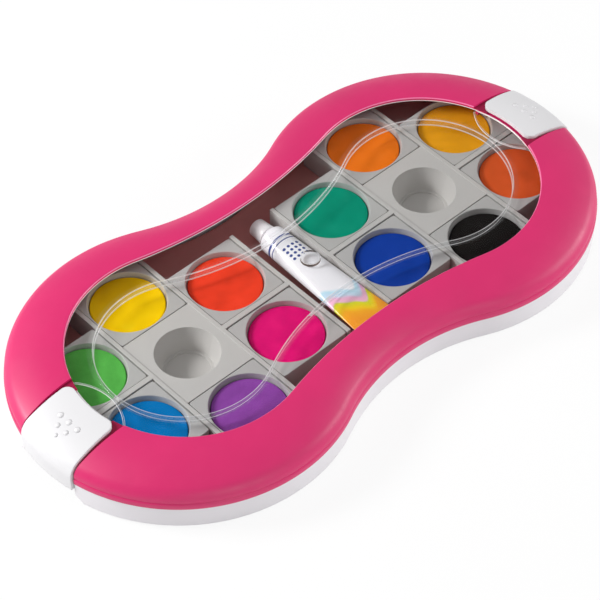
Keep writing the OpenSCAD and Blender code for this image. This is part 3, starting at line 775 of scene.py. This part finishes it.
# ---------------------------------------------------------------- latch grip bumps
def grip_bump(name, x, y, r, side, body):
    """A low round grip bump on a latch, standing on its skin."""
    rings, circle = 8, around(28)
    rad = math.hypot(x - LOBE_X, y)
    inset = LOBE_R - rad
    lean = dome_height(inset + 0.5) - dome_height(inset - 0.5)
    normal = Vector(((x - LOBE_X) / rad * lean, y / rad * lean, 1)).normalized()
    centre = Vector((x, y, dome_height(inset))) + normal * (LATCH_PROUD - BUMP_SINK)
    u = normal.cross(Vector((0, 1, 0))).normalized()
    v = normal.cross(u)
    verts = [centre + normal * BUMP_H]
    for k in range(1, rings + 1):
        t = k / rings
        height = BUMP_H * (0.5 + 0.5 * math.cos(math.pi * t ** 1.3)) - (0.05 if k == rings else 0)
        verts += [centre + (u * c + v * s) * r * t + normal * height for c, s in circle]
    verts = [(side * p.x, side * p.y, p.z) for p in verts]
    ob = mesh_piece(name, verts, crown_faces(rings, len(circle)), mat_latch, body)


# Places (x, y) and radii of the bumps on the right latch, in three rows that point outwards.
BUMPS = [(122.6, 0, 1.6), (122.6, 4.9, 1.6), (122.6, -4.9, 1.6)]
BUMPS += [(126.1, 2.45, 1.35), (126.1, -2.45, 1.35), (129.1, 0, 1.1)]
for side, label in ((1, "right"), (-1, "left")):
    for i, (x, y, r) in enumerate(BUMPS):
        grip_bump(f"{label}_grip_bump_{i + 1}", x, y, r, side, label + "_latch")


# ---------------------------------------------------------------- clear palette
WELL = (STEP_R, STEP_X, STEP_HALF)
WINDOW = (WINDOW_R, WINDOW_X, WINDOW_HALF)
# The sheet's materials by number: clear, the pale lines at the well's edges, which are painted highlight, and
# its faint slopes with a faint painted highlight.
SHEET_LOOKS = (mat_sheet, mat_line_highlight, mat_step)
FLAT, LINE, SLOPE = 0, 1, 2


def waisted_path(r, x, half, d):
    """Waisted outline moved outwards by d, with the same steps for every outline and d."""
    lobe_steps, waist_steps = 90, 40
    arc = waist_arc(x, r, half)
    arc_y = half + arc
    span = math.atan2(arc_y, -x)
    turn = math.atan2(x, arc_y)
    out = []
    for side in (1, -1):
        for k in range(lobe_steps):
            a = -span + 2 * span * k / lobe_steps
            out.append((side * (x + (r + d) * math.cos(a)), side * (r + d) * math.sin(a)))
        for k in range(waist_steps):
            a = turn - 2 * turn * k / waist_steps
            out.append((side * (arc - d) * math.sin(a), side * (arc_y - (arc - d) * math.cos(a))))
    return out


def well_section():
    """The well from its floor up and over its rim, as (outline, offset, height, look) rows."""
    floor_z, rim_z = STEP_FLOOR_Z, PALETTE_Z + STEP_RIM
    rows = [(WELL, -STEP_FLAT, floor_z, FLAT), (WELL, -STEP_LINE, floor_z, LINE)]
    for a in quarter_turn(5):
        d, z = -STEP_EDGE * (1 - math.sin(a)), floor_z + STEP_EDGE * (1 - math.cos(a))
        rows.append((WELL, d, z, LINE))
    rows += [(WELL, 0, floor_z + STEP_LINE_H, SLOPE), (WELL, 0, rim_z - STEP_LINE_H, LINE)]
    for a in quarter_turn(5):
        d, z = STEP_EDGE * (1 - math.cos(a)), rim_z - STEP_EDGE * (1 - math.sin(a))
        rows.append((WELL, d, z, LINE))
    for k in range(9):
        z = PALETTE_Z + STEP_RIM * (0.5 + 0.5 * math.cos(math.pi * k / 8))
        rows.append((WELL, STEP_LINE + STEP_RIM_W * k / 8, z, SLOPE))
    return rows + [(WELL, 2.5, PALETTE_Z, FLAT), (WELL, 3.2, PALETTE_Z, FLAT)]


def edge_section():
    """The sheet's rounded outer edge, from its top face round to its underside."""
    top = [(-0.8, 0), (-0.25, 0), (-0.07, -0.07), (0, -0.25)]
    rows = [(WINDOW, PALETTE_EDGE + d, PALETTE_Z + z, FLAT) for d, z in top]
    return rows + [(WINDOW, PALETTE_EDGE + d, SHEET_LOW_Z - z, FLAT) for d, z in reversed(top)]


def underside_section():
    """The underside, from the border down round the well to below its floor."""
    under_z = STEP_FLOOR_Z - STEP_T
    rows = [(WELL, STEP_FLAT, SHEET_LOW_Z, FLAT), (WELL, 0.75, SHEET_LOW_Z, SLOPE)]
    rows += [(WELL, 0.65, under_z + 0.3, SLOPE), (WELL, 0.55, under_z + 0.08, SLOPE)]
    return rows + [(WELL, STEP_LINE, under_z, FLAT), (WELL, -STEP_FLAT, under_z, FLAT)]


def make_sheet():
    """The clear sheet: a rounded edge, a flat border and a waisted well with a flat floor."""
    section = well_section() + edge_section() + underside_section()
    rows = [[(x, y, z) for x, y in waisted_path(*outline, d)] for outline, d, z, look in section]
    n = len(rows[0])
    faces = grid_faces(len(rows), n, False, True) + end_faces(len(rows), n)
    ob = mesh_piece("palette_sheet", flat_list(rows), faces, SHEET_LOOKS[FLAT], "lid", 35)
    for look in SHEET_LOOKS[1:]:
        ob.data.materials.append(look)
    for i, f in enumerate(ob.data.polygons):
        f.material_index = section[i // n][3] if i < (len(rows) - 1) * n else FLAT
    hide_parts("clear_palette")
    return ob


def ridge_section():
    """An arc ridge's section as (offset, height) points: steep rounded sides and a flat top."""
    half, h = ARC_RIDGE_W / 2, ARC_RIDGE_H
    side = [(half, -0.02), (half - 0.04, 0.5 * h), (half - 0.12, 0.86 * h)]
    side += [(half - inset, h) for inset in (0.26, 0.32, half)]
    return [(-d, z) for d, z in side] + [(d, z) for d, z in reversed(side)]


def make_arc_ridge(side, label):
    """A curved ridge on the sheet in front of a latch."""
    reach = ARC_RIDGE_X - WINDOW_X
    edge = WINDOW_R - ARC_RIDGE_IN
    half = math.acos((reach ** 2 + ARC_RIDGE_R ** 2 - edge ** 2) / (2 * reach * ARC_RIDGE_R))
    rows = []
    for k in range(61):
        a = math.pi - half + 2 * half * k / 60
        row = []
        for d, z in ridge_section():
            r = ARC_RIDGE_R + d
            row.append((side * (ARC_RIDGE_X + r * math.cos(a)), side * r * math.sin(a), PALETTE_Z + z))
        rows.append(row)
    n = len(rows[0])
    faces = grid_faces(len(rows), n) + end_faces(len(rows), n)
    return mesh_piece(label + "_palette_arc", flat_list(rows), faces, mat_ridge, "lid")


def make_bead():
    """Pale strip where the clear sheet meets the ring's lip, all round the window: a painted highlight of the
    sheet's edge.
    """
    top = UNDER_LIP_Z - BEAD_DROP
    back = UNDERCUT + BEAD_BACK
    section = [(back, 0), (0.5, 0), (0.1, 0), (0.02, 0.12), (0.02, 0.34), (0.12, 0.45), (back, 0.45)]
    cols = len(section)
    verts = []
    for p, n, w in ring_stations():
        at_latch = abs(p.y) < LATCH_HALF and abs(p.x) > WINDOW_X
        drop = UNDER_LIP_Z - LEDGE_Z if at_latch else 0
        for d, down in section:
            q = p + d * n
            verts.append((q.x, q.y, top - down - drop))
    ob = mesh_piece("palette_bead", verts, grid_faces(len(verts) // cols, cols, True, True), mat_bead_highlight, "lid")
    ob.data.materials.append(mat_pink)
    for i, f in enumerate(ob.data.polygons):
        f.material_index = 1 if i % cols == 0 else 0
    return ob


def make_boss():
    """Round raised mark near the middle of the well's floor, with a rounded rim."""
    circle = around(96)
    profile = [(BOSS_R + 0.1, -0.02), (BOSS_R, 0.15), (BOSS_R, BOSS_H - BOSS_EDGE)]
    wall_rows = len(profile)
    for a in quarter_turn(6, 1):
        profile.append((BOSS_R - BOSS_EDGE * (1 - math.cos(a)), BOSS_H - BOSS_EDGE * (1 - math.sin(a))))
    rim_rows = len(profile)
    profile += [(BOSS_R * 0.75, BOSS_H - 0.02), (BOSS_R * 0.4, BOSS_H - 0.05)]
    rows = [[(BOSS_X + r * c, BOSS_Y + r * s, STEP_FLOOR_Z + h) for c, s in circle] for r, h in profile]
    faces = grid_faces(len(rows), len(circle), False, True) + end_faces(len(rows), len(circle))[1:]
    ob = mesh_piece("palette_boss", flat_list(rows), faces, mat_wall_shade, "lid")
    for look in (mat_ridge, mat_sheet):
        ob.data.materials.append(look)
    # The side wall takes the dark brown tint as painted shade, the rounded rim the ridge's white sides as
    # painted highlight, and the top the clear sheet.
    for f in ob.data.polygons:
        row = max(f.vertices) // len(circle)
        f.material_index = 0 if row <= wall_rows else 1 if row < rim_rows else 2
    return ob


for piece in (make_bead(), make_sheet(), make_boss(), make_arc_ridge(1, "right"), make_arc_ridge(-1, "left")):
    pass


# ---------------------------------------------------------------- paint tube
# Colours of the tube's skin along it, from the shoulder at 0 to the tail's end at 1.
TUBE_COLOURS = [
    (0.0, (246, 244, 248)), (0.585, (246, 244, 248)), (0.61, (190, 228, 244)), (0.65, (204, 222, 242)),
    (0.675, (244, 184, 214)), (0.705, (246, 190, 214)), (0.72, (222, 226, 30)), (0.765, (252, 214, 10)),
    (0.80, (254, 176, 22)), (0.87, (252, 160, 26)), (1.0, (254, 180, 40)),
]
# Waves that the colours run in: how often across the tube, and how far along it.
TUBE_WAVES = [(7.5, 0.045), (15.0, 0.014)]
PRINT_BLUE = (52, 72, 140)
# Printed bands: the middle and half the width of each, along the tube.
BANDS = [(0.085, 0.008), (0.115, 0.0035)]
# Printed dots: their pitch in mm, radius in pitches, first and last place along, and half the field's width.
DOT_PITCH, DOT_R, DOTS_FIRST, DOTS_LAST, DOTS_HALF = 2.2, 0.3, 5.0, 9.0, 2.0

# The tube's own frame: +Y from tail to cap, with its origin in the middle of its shoulder.
TUBE_FRAME = Matrix.Translation(Vector((3.0, 25.5, 13.16)))
TUBE_FRAME = TUBE_FRAME @ Matrix.Rotation(-math.radians(TUBE_YAW), 4, "Z")
TUBE_FRAME = TUBE_FRAME @ Matrix.Rotation(-math.radians(TUBE_PITCH), 4, "X")


def product(nt, a, b):
    return math_node(nt, "MULTIPLY", a, b)


def within(nt, value, middle, half):
    """1 where the value lies less than half away from the middle, otherwise 0."""
    off = math_node(nt, "ABSOLUTE", math_node(nt, "SUBTRACT", value, middle))
    return math_node(nt, "LESS_THAN", off, half)


def dot_field(nt, across, along):
    """1 on a field of round dots, one to each unit square of across and along, otherwise 0."""
    u = math_node(nt, "SUBTRACT", math_node(nt, "FRACT", across), 0.5)
    v = math_node(nt, "SUBTRACT", math_node(nt, "FRACT", along), 0.5)
    far = math_node(nt, "SQRT", math_node(nt, "ADD", product(nt, u, u), product(nt, v, v)))
    inside = math_node(nt, "LESS_THAN", far, DOT_R)
    inside = product(nt, inside, math_node(nt, "GREATER_THAN", along, DOTS_FIRST))
    inside = product(nt, inside, math_node(nt, "LESS_THAN", along, DOTS_LAST))
    return product(nt, inside, within(nt, across, 0.0, DOTS_HALF))


def tube_material(name):
    """White laminate with plain bands, dots and soft waves of colour, laid along the tube's own length."""
    m, nt, p, at = principled(name)
    uv = nt.nodes.new("ShaderNodeUVMap")
    uv.uv_map = "along"
    split = nt.nodes.new("ShaderNodeSeparateXYZ")
    put(nt, uv.outputs[0], split.inputs[0])
    across, along = split.outputs["X"], split.outputs["Y"]
    pos = along
    for often, far in TUBE_WAVES:
        wave = math_node(nt, "SINE", product(nt, across, often))
        pos = math_node(nt, "ADD", pos, product(nt, wave, far))
    dot_across = product(nt, math_node(nt, "SUBTRACT", across, 0.5), TAIL_W / DOT_PITCH)
    printed = dot_field(nt, dot_across, product(nt, along, TUBE_LEN / DOT_PITCH))
    for middle, half in BANDS:
        printed = math_node(nt, "MAXIMUM", printed, within(nt, along, middle, half))
    mix = nt.nodes.new("ShaderNodeMix")
    mix.data_type = "RGBA"
    put(nt, printed, mix.inputs[0])
    put(nt, ramp(nt, pos, [(share, lin(*c)) for share, c in TUBE_COLOURS]), mix.inputs[6])
    mix.inputs[7].default_value = lin(*PRINT_BLUE)
    put(nt, mix.outputs[2], p.inputs["Base Color"])
    sheen = ramp(nt, noise(nt, 150, 3, 0.6, at), [(0.3, grey(0.2)), (0.7, grey(0.3))])
    put(nt, sheen, p.inputs["Roughness"])
    put(nt, bump(nt, noise(nt, 90, 3, 0.5, at), 0.25, 0.00025), p.inputs["Normal"])
    return m


def tube_row(y, half_w, half_t, power):
    """A row round the tube at y: round where power is 2, and squarer where it is more."""
    e = 2 / power
    row = []
    for c, s in around(96):
        row.append((half_w * math.copysign(abs(c) ** e, c), y, half_t * math.copysign(abs(s) ** e, s)))
    return row


def tube_rows():
    """Rows from the neck's end over the shoulder and down the body to the crimped tail."""
    neck = SHOULDER_LEN + NECK_LEN
    rounds = [(neck, 0.02), (neck, NECK_R - 0.3), (neck - 0.3, NECK_R), (SHOULDER_LEN + 0.05, NECK_R)]
    rounds += [(SHOULDER_LEN, NECK_R + 0.6), (SHOULDER_LEN - 0.25, NECK_R + 1.0)]
    rounds += [(0.75, TUBE_R - 1.1), (0.35, TUBE_R - 0.5), (0.0, TUBE_R - 0.22)]
    rounds += [(-0.35, TUBE_R - 0.06), (-0.8, TUBE_R)]
    rows = [tube_row(y, r, r, 2) for y, r in rounds]
    end, steps = TUBE_LEN - TAIL_FOLD, 40
    for k in range(1, steps + 1):
        y = -0.8 - (end - 0.8) * (k / steps)
        share = -y / end
        half_w = TUBE_R + (TAIL_W / 2 - TUBE_R) * share - SKIN
        half_t = TUBE_R + (TAIL_T / 2 - TUBE_R) * share - SKIN
        rows.append(tube_row(y, half_w, half_t, 2 + 0.25 * math.sin(math.pi * share)))
    for k in range(13):
        crimp = 0.16 if k % 2 else 0.0
        y = -end - 0.1 - (TAIL_FOLD - 0.15) * k / 12
        rows.append(tube_row(y, TAIL_W / 2 - SKIN, TAIL_T / 2 - SKIN - crimp, 8))
    rows.append(tube_row(-TUBE_LEN + SKIN, TAIL_W / 2 - 0.2, TAIL_T / 2 - 0.35, 8))
    return rows


def make_tube():
    rows = tube_rows()
    turns = len(rows[0])
    flat = flat_list(rows)
    faces = grid_faces(len(rows), turns, False, True) + end_faces(len(rows), turns)
    verts = [TUBE_FRAME @ Vector(v) for v in flat]
    ob = mesh_piece("tube_body", verts, faces, tube_material("tube_skin"), "tube", 50)
    layer = ob.data.uv_layers.new(name="along")
    for loop in ob.data.loops:
        x, y, z = flat[loop.vertex_index]
        layer.data[loop.index].uv = (x / TAIL_W + 0.5, max(0.0, -y / TUBE_LEN))
    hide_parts("paint_tube")


def cap_profile():
    """The cap's (distance along, radius, rib depth) rows, from the end of its bore round to its top."""
    base = SHOULDER_LEN + CAP_BASE
    top = base + CAP_LEN
    bore = NECK_R + CAP_GAP
    bore_end = base + NECK_LEN + 0.2
    rows = [(bore_end, 0.02, 0), (bore_end, bore, 0), (base, bore, 0)]
    rows += [(base, CAP_R - 0.25, 0), (base + 0.08, CAP_R - 0.07, 0), (base + 0.25, CAP_R, 0)]
    for k in range(1, 5):
        y = base + 0.25 + (CAP_LEN - 1.0) * (k / 4)
        rows.append((y, CAP_R - CAP_TAPER * (k / 4), CAP_RIB))
    for a in quarter_turn(6, 1):
        y = top - CAP_ROUND + (CAP_ROUND - SKIN) * math.sin(a)
        rows.append((y, CAP_R - CAP_TAPER - CAP_ROUND + CAP_ROUND * math.cos(a), 0))
    return rows + [(top - SKIN, 0.02, 0)]


def make_cap():
    """The screw cap, with 24 ribs round it for the grip."""
    turns, ribs = 72, 24
    rows = []
    for y, r, depth in cap_profile():
        row = []
        for j, (c, s) in enumerate(around(turns)):
            ribbed = r - depth * (0.5 + 0.5 * math.cos(ribs * 2 * math.pi * j / turns))
            row.append((ribbed * c, y, ribbed * s))
        rows.append(row)
    verts = [TUBE_FRAME @ Vector(v) for v in flat_list(rows)]
    ob = mesh_piece("cap_skin", verts, grid_faces(len(rows), turns, False, True), mat_cap, "cap", 50)
    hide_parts("tube_cap")


make_tube()
make_cap()


# ---------------------------------------------------------------- camera
# Fitted to the photo: angles in degrees, distance in metres, focal length and sensor in mm.
CAMERA_AZ, CAMERA_EL, CAMERA_ROLL = -42.5566, 48.0761, -0.38655
CAMERA_TARGET, CAMERA_DISTANCE = (-13.0075, -8.5270, 16.0), 0.976233
CAMERA_LENS, CAMERA_SENSOR, CAMERA_CLIP = 148.566, 36, 0.05


def make_camera():
    az, el, roll = map(math.radians, (CAMERA_AZ, CAMERA_EL, CAMERA_ROLL))
    back = Vector((math.sin(az) * math.cos(el), -math.cos(az) * math.cos(el), math.sin(el)))
    right = Vector((0, 0, 1)).cross(back).normalized()
    up = back.cross(right)
    cam_x = right * math.cos(roll) + up * math.sin(roll)
    cam_y = up * math.cos(roll) - right * math.sin(roll)
    eye = Vector(CAMERA_TARGET) * MM + back * CAMERA_DISTANCE
    camera = bpy.data.objects.new("camera", bpy.data.cameras.new("camera"))
    camera.data.lens = CAMERA_LENS
    camera.data.sensor_width = CAMERA_SENSOR
    camera.data.clip_start = CAMERA_CLIP
    turned = Matrix((cam_x, cam_y, back)).transposed()
    camera.matrix_world = Matrix.Translation(eye) @ turned.to_4x4()
    bpy.context.scene.collection.objects.link(camera)
    bpy.context.scene.camera = camera


make_camera()


# ---------------------------------------------------------------- light and floor
# Name, place and size in metres, and power in watts, of each soft light. All face the box.
LIGHTS = [
    ("key_light", (-0.60, 0.57, 0.545), (0.33, 0.26), 8.6),
    ("right_light", (0.95, -0.55, 0.38), (0.7, 0.4), 6.8),
    ("front_light", (-0.35, -1.1, 0.3), (0.8, 0.3), 2.6),
]
WORLD_SEEN, WORLD_LIGHT = 1.0, 0.42
FLOOR_HALF, FLOOR_DROP, FLOOR_GLOW = 4, 0.0002, 0.88


def make_light(name, at, size, power):
    data = bpy.data.lights.new(name, "AREA")
    data.shape = "RECTANGLE"
    data.size, data.size_y = size
    data.energy = power
    ob = bpy.data.objects.new(name, data)
    bpy.context.scene.collection.objects.link(ob)
    ob.location = at
    ob.rotation_euler = (-Vector(at)).to_track_quat("-Z", "Y").to_euler()


def glow(nt, kind, strength):
    """A white background or emission shader of a strength."""
    s = nt.nodes.new(kind)
    s.inputs["Color"].default_value = (1, 1, 1, 1)
    s.inputs["Strength"].default_value = strength
    return s.outputs[0]


def make_world():
    """White where the camera or a clear piece looks past the box, and softer as a light on it."""
    world = bpy.data.worlds.new("studio")
    bpy.context.scene.world = world
    world.use_nodes = True
    nt = world.node_tree
    nt.nodes.clear()
    out = nt.nodes.new("ShaderNodeOutputWorld")
    path = nt.nodes.new("ShaderNodeLightPath")
    seen = math_node(nt, "MAXIMUM", path.outputs["Is Camera Ray"], path.outputs["Is Transmission Ray"])
    light = glow(nt, "ShaderNodeBackground", WORLD_LIGHT)
    shown = glow(nt, "ShaderNodeBackground", WORLD_SEEN)
    put(nt, mixed(nt, seen, light, shown), out.inputs[0])


def floor_material():
    """Near white to the camera, keeping the box's shadow, and plain pale grey in the light it sends back."""
    m, nt, out = new_material("studio_floor")
    path = nt.nodes.new("ShaderNodeLightPath")
    cloud = noise(nt, 8, 2, 0.5, place(nt))
    shown = coloured(nt, "ShaderNodeBsdfDiffuse", ramp(nt, cloud, [(0.4, grey(0.93)), (0.6, grey(0.95))]))
    sent = coloured(nt, "ShaderNodeBsdfDiffuse", ramp(nt, cloud, [(0.4, grey(0.69)), (0.6, grey(0.71))]))
    seen = math_node(nt, "MAXIMUM", path.outputs["Is Glossy Ray"], path.outputs["Is Transmission Ray"])
    seen = math_node(nt, "MAXIMUM", path.outputs["Is Camera Ray"], seen)
    bright = mixed(nt, FLOOR_GLOW, shown, glow(nt, "ShaderNodeEmission", 1.0))
    put(nt, mixed(nt, seen, sent, bright), out.inputs[0])
    return m


def make_floor():
    h = FLOOR_HALF
    me = bpy.data.meshes.new("floor")
    me.from_pydata([(-h, -h, 0), (h, -h, 0), (h, h, 0), (-h, h, 0)], [], [(0, 1, 2, 3)])
    floor = bpy.data.objects.new("floor", me)
    floor.location.z = -FLOOR_DROP
    bpy.context.scene.collection.objects.link(floor)
    floor.data.materials.append(floor_material())


for light in LIGHTS:
    make_light(*light)
make_world()
make_floor()

bpy.context.scene.view_settings.view_transform = "Standard"
